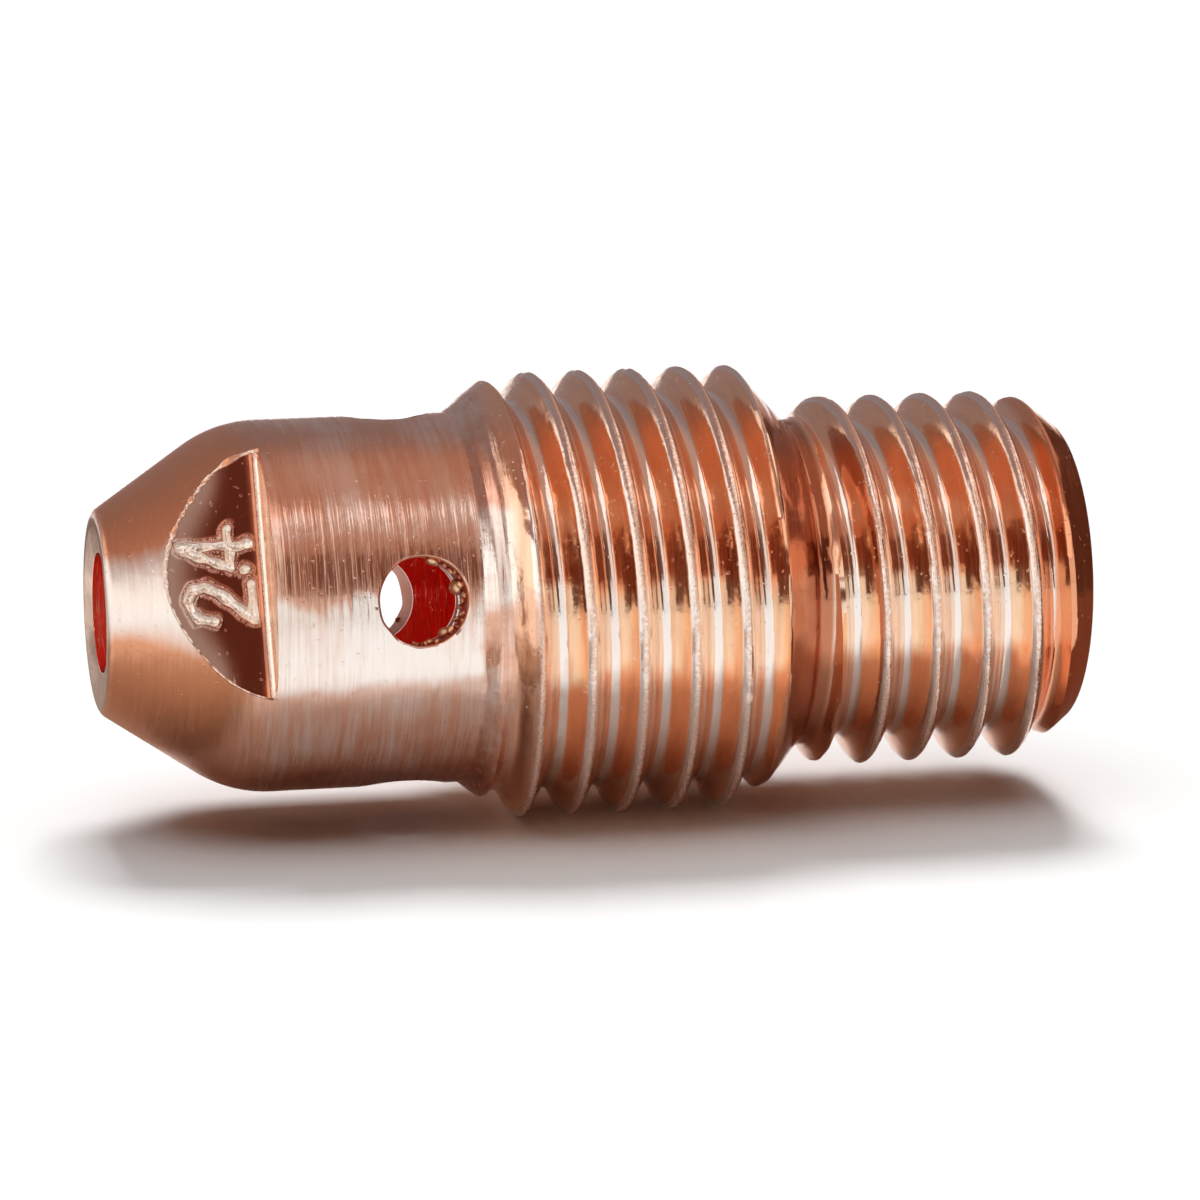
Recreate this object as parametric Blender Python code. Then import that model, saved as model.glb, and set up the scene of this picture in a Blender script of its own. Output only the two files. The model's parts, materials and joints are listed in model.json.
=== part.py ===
# TIG torch collet body, turned from one copper bar.
# Its turning axis is the X axis, with the nose towards -X and the middle of the rear face at the origin,
# where the torch head holds it. Units are metres. Places along the axis are measured from the nose.

import math

import bmesh
import bpy
from mathutils import Vector

MM = 0.001

# Electrode bore and collet bore
ELECTRODE_DIAMETER = 2.4 * MM
ELECTRODE_CLEARANCE = 0.05 * MM
ELECTRODE_BORE_LENGTH = 1.5 * MM
ELECTRODE_BORE_CHAMFER = 0.24 * MM
COLLET_BORE_DIAMETER = 4.8 * MM
COLLET_SEAT_ANGLE = math.radians(30.0)
COLLET_BORE_CHAMFER = 0.15 * MM

# Nose and barrel
NOSE_DIAMETER = 4.1 * MM
NOSE_CORNER_RADIUS = 0.30 * MM
NOSE_LENGTH = 2.6 * MM
NOSE_SHOULDER_RADIUS = 2.7 * MM
BARREL_DIAMETER = 7.6 * MM
BARREL_LENGTH = 4.73 * MM

# Nozzle thread, the larger one, of 24 turns to the inch
NOZZLE_THREAD_DIAMETER = 9.16 * MM
NOZZLE_THREAD_PITCH = 25.4 / 24 * MM
NOZZLE_THREAD_DEPTH = 0.57 * MM
NOZZLE_THREAD_LENGTH = 4.98 * MM
NOZZLE_THREAD_START = 0.79 * MM
NOZZLE_LEAD_ANGLE = math.radians(38.5)
NOZZLE_BACK_ANGLE = math.radians(48.5)

# Neck between the threads
NECK_DIAMETER = 6.8 * MM
NECK_LENGTH = 0.30 * MM

# Torch thread, the smaller one, of 24 turns to the inch
TORCH_THREAD_DIAMETER = 7.68 * MM
TORCH_THREAD_PITCH = 25.4 / 24 * MM
TORCH_THREAD_DEPTH = 0.60 * MM
TORCH_THREAD_LENGTH = 4.46 * MM
TORCH_THREAD_START = 0.43 * MM
TORCH_THREAD_RUNOUT = math.radians(150.0)
TORCH_LEAD_ANGLE = math.radians(56.0)
REAR_CHAMFER_ANGLE = math.radians(42.5)
REAR_FACE_DIAMETER = 6.26 * MM

# Both threads
CREST_FLAT = 0.12 * MM
FLANK_ANGLE = math.radians(30.0)

# Gas ports round the barrel
PORT_DIAMETER = 1.8 * MM
PORT_COUNT = 4
PORT_TO_BARREL_END = 1.23 * MM
PORT_ELEVATION = math.radians(11.0)

# Milled flat for the size mark
FLAT_DEPTH = 1.01 * MM
FLAT_INTO_BARREL = 0.55 * MM
FLAT_ELEVATION = math.radians(24.5)

# Facets
TURN_SEGMENTS = 48
PORT_SEGMENTS = 28
CORNER_SEGMENTS = 4
SHOULDER_SEGMENTS = 5

# How far a cutter reaches past the face that it cuts
OVERCUT = 0.5 * MM

COPPER_COLOUR = (0.83, 0.52, 0.39, 1.0)
COPPER_ROUGHNESS = 0.28

# Places along the axis, worked out from the sizes above
electrodeRadius = ELECTRODE_DIAMETER / 2 + ELECTRODE_CLEARANCE / 2
colletRadius = COLLET_BORE_DIAMETER / 2
barrelRadius = BARREL_DIAMETER / 2
nozzleRadius = NOZZLE_THREAD_DIAMETER / 2
neckRadius = NECK_DIAMETER / 2
torchRadius = TORCH_THREAD_DIAMETER / 2
rearRadius = REAR_FACE_DIAMETER / 2

barrelEnd = NOSE_LENGTH + BARREL_LENGTH
nozzleStart = barrelEnd + (nozzleRadius - barrelRadius) / math.tan(NOZZLE_LEAD_ANGLE)
nozzleEnd = nozzleStart + NOZZLE_THREAD_LENGTH
neckStart = nozzleEnd + (nozzleRadius - neckRadius) / math.tan(NOZZLE_BACK_ANGLE)
neckEnd = neckStart + NECK_LENGTH
torchStart = neckEnd + (torchRadius - neckRadius) / math.tan(TORCH_LEAD_ANGLE)
torchEnd = torchStart + TORCH_THREAD_LENGTH
overallLength = torchEnd + (torchRadius - rearRadius) / math.tan(REAR_CHAMFER_ANGLE)


def radialDirection(angle):
    # The angle turns from straight up towards -Y.
    return Vector((0.0, -math.sin(angle), math.cos(angle)))


def fillet(before, corner, after, radius, segments):
    # Rounds the corner of a profile with an arc that touches both of its sides.
    corner = Vector(corner)
    toBefore = (Vector(before) - corner).normalized()
    toAfter = (Vector(after) - corner).normalized()
    halfAngle = toBefore.angle(toAfter) / 2
    centre = corner + (toBefore + toAfter).normalized() * (radius / math.sin(halfAngle))
    first = corner + toBefore * (radius / math.tan(halfAngle)) - centre
    last = corner + toAfter * (radius / math.tan(halfAngle)) - centre
    sweep = first.angle(last)
    points = []
    for step in range(segments + 1):
        part = step / segments
        arm = first * math.sin((1 - part) * sweep) + last * math.sin(part * sweep)
        points.append(tuple(centre + arm / math.sin(sweep)))
    return points


def loft(name, rings):
    # Skins closed rings of points, one after the other, and caps both ends.
    shape = bmesh.new()
    loops = [[shape.verts.new(point) for point in ring] for ring in rings]
    count = len(loops[0])
    for near, far in zip(loops, loops[1:]):
        for index in range(count):
            following = (index + 1) % count
            shape.faces.new((near[index], near[following], far[following], far[index]))
    shape.faces.new(reversed(loops[0]))
    shape.faces.new(loops[-1])
    bmesh.ops.recalc_face_normals(shape, faces=shape.faces)
    mesh = bpy.data.meshes.new(name)
    shape.to_mesh(mesh)
    shape.free()
    mesh.shade_smooth()
    mesh.set_sharp_from_angle(angle=math.radians(24.0))
    solid = bpy.data.objects.new(name, mesh)
    bpy.context.scene.collection.objects.link(solid)
    return solid


def turned(name, profile):
    # Turns a profile of (place, radius) points about the axis.
    rings = []
    for place, radius in profile:
        ring = []
        for step in range(TURN_SEGMENTS):
            angle = 2 * math.pi * (step + 0.5) / TURN_SEGMENTS
            ring.append(Vector((place, 0.0, 0.0)) + radialDirection(angle) * radius)
        rings.append(ring)
    return loft(name, rings)


def blankProfile():
    noseCorner = (0.0, NOSE_DIAMETER / 2)
    shoulder = (NOSE_LENGTH, barrelRadius)
    profile = fillet((0.0, 0.0), noseCorner, shoulder, NOSE_CORNER_RADIUS, CORNER_SEGMENTS)
    profile += fillet(noseCorner, shoulder, (barrelEnd, barrelRadius), NOSE_SHOULDER_RADIUS,
                      SHOULDER_SEGMENTS)
    profile += [
        (barrelEnd, barrelRadius),
        (nozzleStart, nozzleRadius),
        (nozzleEnd, nozzleRadius),
        (neckStart, neckRadius),
        (neckEnd, neckRadius),
        (torchStart, torchRadius),
        (torchEnd, torchRadius),
        (overallLength, rearRadius),
    ]
    return profile


def boreProfile():
    # The electrode bore opens through the collet's seat into the collet bore.
    seatStart = ELECTRODE_BORE_LENGTH
    seatEnd = seatStart + (colletRadius - electrodeRadius) / math.tan(COLLET_SEAT_ANGLE)
    return [
        (-OVERCUT, electrodeRadius + ELECTRODE_BORE_CHAMFER + OVERCUT),
        (ELECTRODE_BORE_CHAMFER, electrodeRadius),
        (seatStart, electrodeRadius),
        (seatEnd, colletRadius),
        (overallLength - COLLET_BORE_CHAMFER, colletRadius),
        (overallLength + OVERCUT, colletRadius + COLLET_BORE_CHAMFER + OVERCUT),
    ]


def threadGroove(name, crestRadius, depth, pitch, crestPlace, first, last, runout, runoutRadius):
    # Sweeps the groove between two crests along a right-hand helix, from place first to place last.
    # At the top of the part a crest passes through crestPlace. Over the runout angle the groove
    # sinks from runoutRadius to its full depth.
    crestFlat = CREST_FLAT
    rise = 0.3 * crestFlat
    rootHalf = (pitch - crestFlat) / 2 - depth * math.tan(FLANK_ANGLE)
    mouthHalf = rootHalf + (depth + rise) * math.tan(FLANK_ANGLE)
    grooveAtTop = crestPlace + pitch / 2
    firstStep = math.ceil((first - grooveAtTop) / pitch * TURN_SEGMENTS)
    lastStep = math.floor((last - grooveAtTop) / pitch * TURN_SEGMENTS)
    rings = []
    for step in range(firstStep, lastStep + 1):
        angle = 2 * math.pi * step / TURN_SEGMENTS
        place = grooveAtTop + pitch * step / TURN_SEGMENTS
        turnedBy = 2 * math.pi * (step - firstStep) / TURN_SEGMENTS
        left = max(0.0, 1 - turnedBy / runout) if runout else 0.0
        lift = left * max(0.0, runoutRadius - crestRadius + depth)
        outward = radialDirection(angle)
        section = [
            (place - rootHalf, crestRadius - depth + lift),
            (place + rootHalf, crestRadius - depth + lift),
            (place + mouthHalf, crestRadius + rise + lift),
            (place - mouthHalf, crestRadius + rise + lift),
        ]
        rings.append([Vector((along, 0.0, 0.0)) + outward * radius for along, radius in section])
    return loft(name, rings)


def gasPort(name, angle):
    # A drill from inside the collet bore, out through the barrel wall.
    place = barrelEnd - PORT_TO_BARREL_END
    outward = radialDirection(angle)
    across = outward.cross(Vector((1.0, 0.0, 0.0)))
    rings = []
    for reach in (colletRadius / 2, barrelRadius + OVERCUT):
        centre = Vector((place, 0.0, 0.0)) + outward * reach
        ring = []
        for step in range(PORT_SEGMENTS):
            turn = 2 * math.pi * (step + 0.5) / PORT_SEGMENTS
            arm = Vector((math.cos(turn), 0.0, 0.0)) + across * math.sin(turn)
            ring.append(centre + arm * (PORT_DIAMETER / 2))
        rings.append(ring)
    return loft(name, rings)


def sizeFlat(name):
    # A milling cut across the nose that stops at a square step in the barrel.
    outward = radialDirection(math.pi / 2 - FLAT_ELEVATION)
    across = outward.cross(Vector((1.0, 0.0, 0.0))) * (barrelRadius + OVERCUT)
    low = outward * (barrelRadius - FLAT_DEPTH)
    high = outward * (barrelRadius + OVERCUT)
    rings = []
    for place in (-OVERCUT, NOSE_LENGTH + FLAT_INTO_BARREL):
        centre = Vector((place, 0.0, 0.0))
        rings.append([centre + low - across, centre + low + across,
                      centre + high + across, centre + high - across])
    return loft(name, rings)


def copper():
    material = bpy.data.materials.new("copper")
    material.use_nodes = True
    shader = material.node_tree.nodes["Principled BSDF"]
    shader.inputs["Base Color"].default_value = COPPER_COLOUR
    shader.inputs["Roughness"].default_value = COPPER_ROUGHNESS
    shader.inputs["Metallic"].default_value = 1.0
    return material


def cutters():
    made = [turned("bore_cut", boreProfile())]
    made.append(threadGroove(
        "nozzle_thread_cut", nozzleRadius, NOZZLE_THREAD_DEPTH, NOZZLE_THREAD_PITCH,
        nozzleStart + NOZZLE_THREAD_START, barrelEnd - NOZZLE_THREAD_PITCH,
        neckStart + NOZZLE_THREAD_PITCH, 0.0, 0.0))
    made.append(threadGroove(
        "torch_thread_cut", torchRadius, TORCH_THREAD_DEPTH, TORCH_THREAD_PITCH,
        torchStart + TORCH_THREAD_START, neckEnd - NECK_LENGTH / 2,
        overallLength + TORCH_THREAD_PITCH, TORCH_THREAD_RUNOUT, torchRadius))
    for port in range(PORT_COUNT):
        angle = math.pi / 2 - PORT_ELEVATION + 2 * math.pi * port / PORT_COUNT
        made.append(gasPort("gas_port_cut_%d" % (port + 1), angle))
    made.append(sizeFlat("size_flat_cut"))
    return made


def build():
    for old in list(bpy.data.objects):
        bpy.data.objects.remove(old, do_unlink=True)

    # The empty carries the turning axis, with the nose at its own origin.
    axis = bpy.data.objects.new("turning_axis", None)
    axis.location = (-overallLength, 0.0, 0.0)
    bpy.context.scene.collection.objects.link(axis)

    body = turned("collet_body", blankProfile())
    body.data.materials.append(copper())
    body.parent = axis
    for cutter in cutters():
        cutter.parent = axis
        cutter.hide_render = True
        cutter.display_type = 'WIRE'
        cut = body.modifiers.new(cutter.name, 'BOOLEAN')
        cut.operation = 'DIFFERENCE'
        cut.solver = 'EXACT'
        cut.object = cutter
    print("collet body: %.2f mm long, %.2f mm across" % (overallLength / MM, 2 * nozzleRadius / MM))


build()
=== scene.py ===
import json
import math

import bmesh
import bpy
import numpy as np
from mathutils import Matrix, Vector

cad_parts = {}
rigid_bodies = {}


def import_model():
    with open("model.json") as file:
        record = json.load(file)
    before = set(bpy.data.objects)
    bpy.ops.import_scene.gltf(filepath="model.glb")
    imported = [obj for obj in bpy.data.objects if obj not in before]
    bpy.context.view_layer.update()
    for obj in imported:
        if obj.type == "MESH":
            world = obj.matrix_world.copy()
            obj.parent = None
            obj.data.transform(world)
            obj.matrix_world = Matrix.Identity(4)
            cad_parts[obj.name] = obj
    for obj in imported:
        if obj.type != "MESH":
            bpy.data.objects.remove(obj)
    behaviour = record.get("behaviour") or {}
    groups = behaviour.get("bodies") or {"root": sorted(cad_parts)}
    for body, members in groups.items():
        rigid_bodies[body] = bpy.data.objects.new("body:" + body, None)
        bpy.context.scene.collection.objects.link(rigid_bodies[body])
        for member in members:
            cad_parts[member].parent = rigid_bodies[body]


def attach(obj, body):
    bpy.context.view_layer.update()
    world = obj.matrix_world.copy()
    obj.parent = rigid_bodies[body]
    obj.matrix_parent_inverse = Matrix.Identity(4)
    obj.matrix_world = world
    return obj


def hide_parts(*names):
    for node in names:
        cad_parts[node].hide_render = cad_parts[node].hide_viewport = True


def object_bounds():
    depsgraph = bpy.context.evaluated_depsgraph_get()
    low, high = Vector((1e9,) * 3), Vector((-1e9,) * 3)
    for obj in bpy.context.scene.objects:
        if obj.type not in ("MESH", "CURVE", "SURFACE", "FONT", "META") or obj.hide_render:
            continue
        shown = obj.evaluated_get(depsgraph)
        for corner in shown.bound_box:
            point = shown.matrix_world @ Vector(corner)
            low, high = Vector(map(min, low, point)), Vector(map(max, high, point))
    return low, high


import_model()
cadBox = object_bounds()

mm = 0.001
noseX = cadBox[0].x  # the nose's place on the turning axis
floorZ = cadBox[0].z
overallLength = (cadBox[1].x - cadBox[0].x) / mm
random = np.random.default_rng(24)


# Small helpers: places run along the axis from the nose, in millimetres,
# and angles round it from the top to the front

def axisPoint(place):
    return Vector((noseX + place * mm, 0.0, 0.0))


def outward(angle):
    return Vector((0.0, -math.sin(angle), math.cos(angle)))


def heading(azimuth, elevation):
    # the way to look from the front, in degrees to the left and up
    azimuth, elevation = math.radians(azimuth), math.radians(elevation)
    return Vector((-math.sin(azimuth) * math.cos(elevation),
                   math.cos(azimuth) * math.cos(elevation),
                   math.sin(elevation)))


def softMin(first, second, width):
    mix = np.clip(0.5 + 0.5 * (second - first) / width, 0.0, 1.0)
    return second + (first - second) * mix - width * mix * (1.0 - mix)


def softMax(first, second, width):
    return -softMin(-first, -second, width)


def smoothStep(low, high, value):
    part = np.clip((value - low) / (high - low), 0.0, 1.0)
    return part * part * (3.0 - 2.0 * part)


def newObject(name, points, faces):
    mesh = bpy.data.meshes.new(name)
    mesh.from_pydata([tuple(point) for point in points], [], faces)
    mesh.validate()
    made = bpy.data.objects.new(name, mesh)
    bpy.context.scene.collection.objects.link(made)
    return made


def skin(rings):
    # joins rings of equal length into one surface, closed at both ends
    count = len(rings[0])
    points = [point for ring in rings for point in ring]
    faces = [tuple(range(count - 1, -1, -1)), tuple(range(len(points) - count, len(points)))]
    for near in range(0, len(points) - count, count):
        for index in range(count):
            after = (index + 1) % count
            faces.append((near + index, near + after, near + count + after, near + count + index))
    return points, faces


# Camera, at the photograph's viewing angle

cameraView = {
    "azimuth": -12.43,  # degrees, towards the nose
    "elevation": 11.77,
    "distance": 114.577,
    "lens": 166.3,
    "sensorWidth": 36.0,
    "aimPlace": 10.0,  # the place on the axis that the camera is set by
    "aimRight": -0.476,  # where that place lies from the middle of the picture
    "aimUp": 0.177,
}


def placeCamera():
    forward = heading(cameraView["azimuth"], -cameraView["elevation"])
    right = forward.cross(Vector((0.0, 0.0, 1.0))).normalized()
    up = right.cross(forward)
    data = bpy.data.cameras.new("photoCamera")
    data.lens = cameraView["lens"]
    data.sensor_width = cameraView["sensorWidth"]
    data.clip_start = mm
    camera = bpy.data.objects.new("photoCamera", data)
    turn = Matrix((right, up, -forward)).transposed().to_4x4()
    spot = axisPoint(cameraView["aimPlace"]) - (right * cameraView["aimRight"]
                                                + up * cameraView["aimUp"]
                                                + forward * cameraView["distance"]) * mm
    camera.matrix_world = Matrix.Translation(spot) @ turn
    bpy.context.scene.collection.objects.link(camera)
    bpy.context.scene.camera = camera
    print("camera placed")


placeCamera()


# Turned body

bodyShape = {
    "columns": 280,
    "electrodeBore": 1.225,
    "electrodeLength": 1.5,
    "dishDepth": 0.10,  # a shallow dish round the electrode bore
    "dishRadius": 1.75,
    "seatAngle": 30.0,
    "colletBore": 2.4,
    "boreChamfer": 0.15,
    "noseRadius": 2.05,
    "noseCorner": 0.30,
    "coneLength": 2.6,
    "shoulderRound": 2.7,
    "barrelRadius": 3.80,
    "barrelEnd": 7.33,
    "nozzleStart": 8.311,
    "nozzleRadius": 4.58,
    "nozzleEnd": 13.291,
    "neckStart": 14.335,
    "neckRadius": 3.40,
    "neckEnd": 14.635,
    "torchStart": 14.931,
    "torchRadius": 3.84,
    "torchEnd": 19.27,
    "rearRadius": 3.13,
    "edgeBreak": 0.035,
    "rowGap": 0.012,  # least room between a thread's rows and a plain ring
    "sharpAngle": 38.0,  # edges over this stay sharp, in degrees
}

nozzleThread = {
    "pitch": 25.4 / 24,
    "crestPlace": 9.101,  # a crest at the top of the part
    "crestRadius": bodyShape["nozzleRadius"],
    "depth": 0.57,
    "crestFlat": 0.12,
    "flankAngle": 30.0,
    "flankBulge": 0.018,
    "crestRound": 0.14,
    "rootRound": 0.20,
    "runoutStart": None,
    "runoutTurns": 0.0,
    "nicks": 90,
    "nickTurns": 6.0,  # the last turn that has any
    "nickDepth": 0.035,
}

torchThread = {
    "pitch": 25.4 / 24,
    "crestPlace": 15.361,
    "crestRadius": bodyShape["torchRadius"],
    "depth": 0.60,
    "crestFlat": 0.12,
    "flankAngle": 30.0,
    "flankBulge": 0.018,
    "crestRound": 0.13,
    "rootRound": 0.20,
    "runoutStart": -1.3125,  # turns from the groove at the top of the part
    "runoutTurns": 0.417,
    "nicks": 70,
    "nickTurns": 5.0,
    "nickDepth": 0.03,
}

crestWear = {
    "firstTurn": -2.0,  # where the nicks start
    "nickWidth": (0.0025, 0.010),  # half of it, in turns
    "nickShare": (0.15, 1.0),  # root of the share of the full depth
    "waveHeight": 0.004,
    "waves": (61.0, 147.0),  # radians for each turn
    "waveShift": 1.3,
    "reach": 0.11,  # from the middle of the crest
}

# rows of one pitch, as millimetres from the crest
threadRows = (0.0, 0.03, 0.065, 0.105, 0.16, 0.27, 0.34, 0.39, 0.44, 0.485)


def roundedCorner(before, corner, after, radius, steps):
    corner = Vector(corner)
    toBefore = (Vector(before) - corner).normalized()
    toAfter = (Vector(after) - corner).normalized()
    halfAngle = toBefore.angle(toAfter) / 2
    centre = corner + (toBefore + toAfter).normalized() * (radius / math.sin(halfAngle))
    first = corner + toBefore * (radius / math.tan(halfAngle)) - centre
    last = corner + toAfter * (radius / math.tan(halfAngle)) - centre
    sweep = first.angle(last)
    points = []
    for step in range(steps + 1):
        part = step / steps
        arm = first * math.sin((1 - part) * sweep) + last * math.sin(part * sweep)
        points.append(tuple(centre + arm / math.sin(sweep)))
    return points


def between(start, end, steps):
    # the points strictly between two profile points
    return [(start[0] + (end[0] - start[0]) * step / steps,
             start[1] + (end[1] - start[1]) * step / steps) for step in range(1, steps)]


def noseProfile():
    # from the rim of the electrode bore, round the lip and up the cone to the barrel's end
    shape = bodyShape
    rim = (shape["dishDepth"], shape["electrodeBore"])
    corner = (0.0, shape["noseRadius"])
    shoulder = (shape["coneLength"], shape["barrelRadius"])
    barrelEnd = (shape["barrelEnd"], shape["barrelRadius"])
    points = [rim]
    points += roundedCorner(rim, (0.0, shape["dishRadius"]), corner, shape["edgeBreak"], steps=4)
    points += roundedCorner((0.0, 0.0), corner, shoulder, shape["noseCorner"], steps=8)
    blend = roundedCorner(corner, shoulder, barrelEnd, shape["shoulderRound"], steps=14)
    points += between(points[-1], blend[0], steps=7)
    points += blend
    points += between(blend[-1], barrelEnd, steps=12)
    return points


def boreProfile():
    # from the rear edge, across the rear face and down the bores to the nose
    shape = bodyShape
    edge = shape["edgeBreak"]
    seatSlope = math.tan(math.radians(shape["seatAngle"]))
    seatEnd = (shape["colletBore"] - shape["electrodeBore"]) / seatSlope
    mouth = (overallLength, shape["colletBore"] + shape["boreChamfer"])
    wall = (overallLength - shape["boreChamfer"], shape["colletBore"])
    seatTop = (shape["electrodeLength"] + seatEnd, shape["colletBore"])
    seatFoot = (shape["electrodeLength"], shape["electrodeBore"])
    chamfer = 0.2  # how far back the rear corner is led in from
    points = roundedCorner((overallLength - chamfer, shape["rearRadius"] + chamfer),
                           (overallLength, shape["rearRadius"]), mouth, edge, steps=4)[1:]
    points += between(points[-1], mouth, steps=4)
    points += roundedCorner(points[-1], mouth, wall, edge, steps=3)
    points += between(points[-1], wall, steps=2)
    points += [wall]
    points += between(wall, seatTop, steps=16)
    points += [seatTop]
    points += between(seatTop, seatFoot, steps=4)
    points += [seatFoot]
    points += between(seatFoot, (shape["dishDepth"], shape["electrodeBore"]), steps=4)
    return points


def blankRadius(place):
    # the turned outline before threading, with its corners slightly broken
    shape = bodyShape
    places = [0.0, shape["barrelEnd"], shape["nozzleStart"], shape["nozzleEnd"], shape["neckStart"],
              shape["neckEnd"], shape["torchStart"], shape["torchEnd"], overallLength]
    radii = [shape["barrelRadius"], shape["barrelRadius"], shape["nozzleRadius"], shape["nozzleRadius"],
             shape["neckRadius"], shape["neckRadius"], shape["torchRadius"], shape["torchRadius"],
             shape["rearRadius"]]
    parts = (-1.0, -0.5, 0.0, 0.5, 1.0)
    return sum(np.interp(place + shape["edgeBreak"] * part, places, radii) for part in parts) / len(parts)


def makeNicks(thread):
    # dents along the crest, as (turn, half width in turns, depth)
    count = thread["nicks"]
    where = random.uniform(crestWear["firstTurn"], thread["nickTurns"], count)
    width = random.uniform(*crestWear["nickWidth"], count)
    depth = thread["nickDepth"] * random.uniform(*crestWear["nickShare"], count) ** 2
    return np.stack([where, width, depth], 1)


def threadRadius(thread, nicks, place, angle):
    pitch = thread["pitch"]
    slope = 1.0 / math.tan(math.radians(thread["flankAngle"]))
    turn = (place - thread["crestPlace"]) / pitch - angle / (2 * math.pi)
    crestNumber = np.round(turn)
    fromCrest = np.abs(turn - crestNumber) * pitch
    crest = thread["crestRadius"] + thread["crestFlat"] / 2 * slope
    root = thread["crestRadius"] - thread["depth"]
    down = np.clip((fromCrest - thread["crestFlat"] / 2) * slope / thread["depth"], 0.0, 1.0)
    flank = crest - fromCrest * slope + 4 * thread["flankBulge"] * down * (1.0 - down)
    groove = softMax(flank, root, thread["rootRound"])
    if thread["runoutStart"] is not None:  # the groove rises out of the metal at its start
        grooveTurn = np.round(turn - 0.5) + angle / (2 * math.pi)
        left = np.clip(1.0 - (grooveTurn - thread["runoutStart"]) / thread["runoutTurns"], 0.0, 1.0)
        groove = groove + left * thread["depth"]
    radius = softMin(blankRadius(place), groove, thread["crestRound"])
    along = crestNumber + angle / (2 * math.pi)
    dent = np.zeros_like(place)
    for where, width, depth in nicks:
        dent += depth * np.exp(-((along - where) / width) ** 2)
    slow, quick = crestWear["waves"]
    wave = crestWear["waveHeight"] * np.sin(along * slow) * np.sin(along * quick + crestWear["waveShift"])
    lost = np.minimum(dent, thread["nickDepth"]) + wave
    return radius - lost * np.exp(-(fromCrest / crestWear["reach"]) ** 2)


class TurnedMesh:
    # collects rings and helical rows of points round the axis
    def __init__(self, columns):
        self.columns = columns
        self.places = []
        self.radii = []
        self.angles = []
        self.faces = []

    def point(self, place, radius, column):
        self.places.append(place)
        self.radii.append(radius)
        self.angles.append(2 * math.pi * column / self.columns)
        return len(self.places) - 1

    def ring(self, place, radius):
        return [self.point(place, radius, column) for column in range(self.columns)]

    def joinRings(self, near, far):
        for column in range(self.columns):
            after = (column + 1) % self.columns
            self.faces.append((near[column], near[after], far[after], far[column]))

    def threadZone(self, thread, nicks, near, far, first, last):
        # rows that climb with the helix, between two plain rings
        pitch = thread["pitch"]
        gap = bodyShape["rowGap"]
        offsets = sorted({*threadRows, pitch / 2, *(pitch - row for row in threadRows[1:])})
        turns = range(math.floor((first - thread["crestPlace"]) / pitch) - 2,
                      math.ceil((last - thread["crestPlace"]) / pitch) + 2)
        start = len(self.places)
        chains = []
        for column in range(self.columns):
            chain = []
            for turn in turns:
                for number, offset in enumerate(offsets):
                    place = thread["crestPlace"] + pitch * (turn + column / self.columns) + offset
                    if first + gap < place < last - gap:
                        chain.append((turn * len(offsets) + number, self.point(place, 0.0, column)))
            chains.append(chain)
        places = np.array(self.places[start:])
        angles = np.array(self.angles[start:])
        self.radii[start:] = list(threadRadius(thread, nicks, places, angles))
        for column in range(self.columns):
            after = (column + 1) % self.columns
            shift = 0 if after else len(offsets)
            left = dict(chains[column])
            right = {number - shift: point for number, point in chains[after]}
            self.joinChains(left, right, (near[column], near[after]), (far[column], far[after]))

    def joinChains(self, left, right, nearPair, farPair):
        # fills between two neighbouring columns, whose rows may start and end apart
        lowLeft, lowRight = min(left), min(right)
        highLeft, highRight = max(left), max(right)
        if lowLeft == lowRight:
            self.faces.append((nearPair[0], nearPair[1], right[lowRight], left[lowLeft]))
        else:
            self.faces.append((nearPair[0], nearPair[1], right[lowRight]))
            for number in range(lowRight, lowLeft):
                self.faces.append((nearPair[0], right[number], right[number + 1]))
            self.faces.append((nearPair[0], right[lowLeft], left[lowLeft]))
        for number in range(lowLeft, highRight):
            self.faces.append((left[number], right[number], right[number + 1], left[number + 1]))
        if highLeft == highRight:
            self.faces.append((left[highLeft], right[highRight], farPair[1], farPair[0]))
        else:
            self.faces.append((left[highRight], right[highRight], farPair[1]))
            for number in range(highRight, highLeft):
                self.faces.append((left[number], farPair[1], left[number + 1]))
            self.faces.append((left[highLeft], farPair[1], farPair[0]))

    def build(self, name):
        place, radius, angle = (np.array(values) for values in (self.places, self.radii, self.angles))
        across = -radius * np.sin(angle) * mm
        up = radius * np.cos(angle) * mm
        return newObject(name, np.stack([noseX + place * mm, across, up], 1), self.faces)


def makeBody():
    shape = bodyShape
    body = TurnedMesh(shape["columns"])
    nozzleNicks = makeNicks(nozzleThread)
    torchNicks = makeNicks(torchThread)
    front = [body.ring(place, radius) for place, radius in noseProfile()]
    barrelEnd = body.ring(shape["barrelEnd"], shape["barrelRadius"])
    neckPlace = (shape["neckStart"] + shape["neckEnd"]) / 2
    neck = body.ring(neckPlace, shape["neckRadius"])
    rearPlace = overallLength - shape["edgeBreak"]
    rear = body.ring(rearPlace, float(blankRadius(np.array(rearPlace))))
    inside = [body.ring(place, radius) for place, radius in boreProfile()]
    for near, far in zip(front, front[1:] + [barrelEnd]):
        body.joinRings(near, far)
    body.threadZone(nozzleThread, nozzleNicks, barrelEnd, neck, shape["barrelEnd"], neckPlace)
    body.threadZone(torchThread, torchNicks, neck, rear, neckPlace, rearPlace)
    for near, far in zip([rear] + inside, inside + [front[0]]):
        body.joinRings(near, far)
    made = body.build("colletBody")
    print("turned body:", len(made.data.polygons), "faces")
    return made


# Gas ports

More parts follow.
